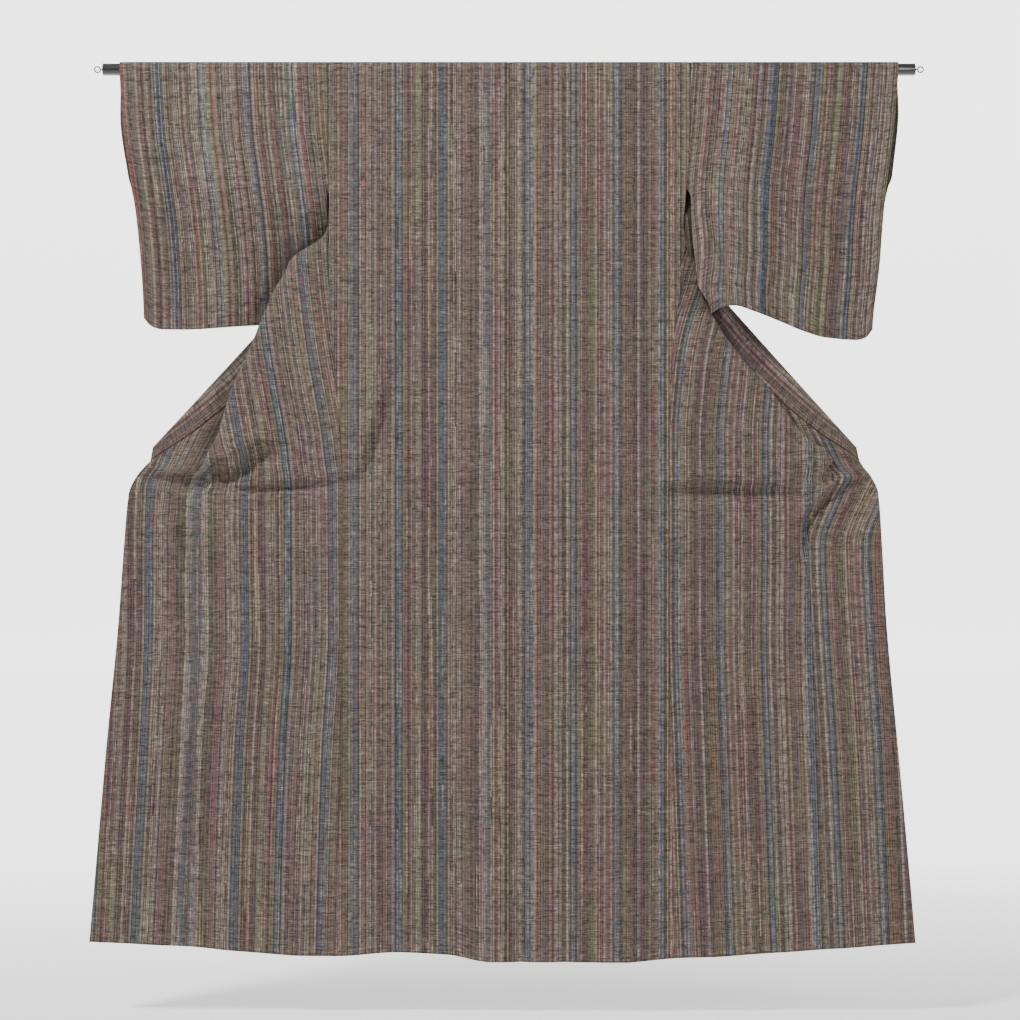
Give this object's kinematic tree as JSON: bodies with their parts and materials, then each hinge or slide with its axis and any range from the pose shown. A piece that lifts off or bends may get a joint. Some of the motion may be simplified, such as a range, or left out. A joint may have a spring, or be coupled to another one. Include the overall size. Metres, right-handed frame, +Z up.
{
  "type": "kimono on a hanging rod",
  "caption": "Woven striped kimono hung by its sleeves on a straight lacquered rod, its fronts drawn out sideways, with a ring at each rod end.",
  "frame": {"origin": "middle of the hanging rod, where the rod holds the garment", "axes": "+X along the rod to the viewer's right, -Y towards the viewer of the garment's back, +Z up"},
  "size_m": [1.4682, 0.1534, 1.583],
  "materials": {
    "cloth": "matte slubbed plain weave with warp stripes",
    "rod_lacquer": "polished dark lacquer on wood",
    "eye_steel": "drawn wire"
  },
  "bodies": {
    "root": {"body_left": "cloth", "body_right": "cloth", "front_panel_left": "cloth", "front_panel_right": "cloth", "collar": "cloth", "over_collar": "cloth", "sleeve_left": "cloth", "sleeve_right": "cloth", "rod": "rod_lacquer", "screw_eye_left": "eye_steel", "screw_eye_right": "eye_steel"}
  },
  "joints": []
}
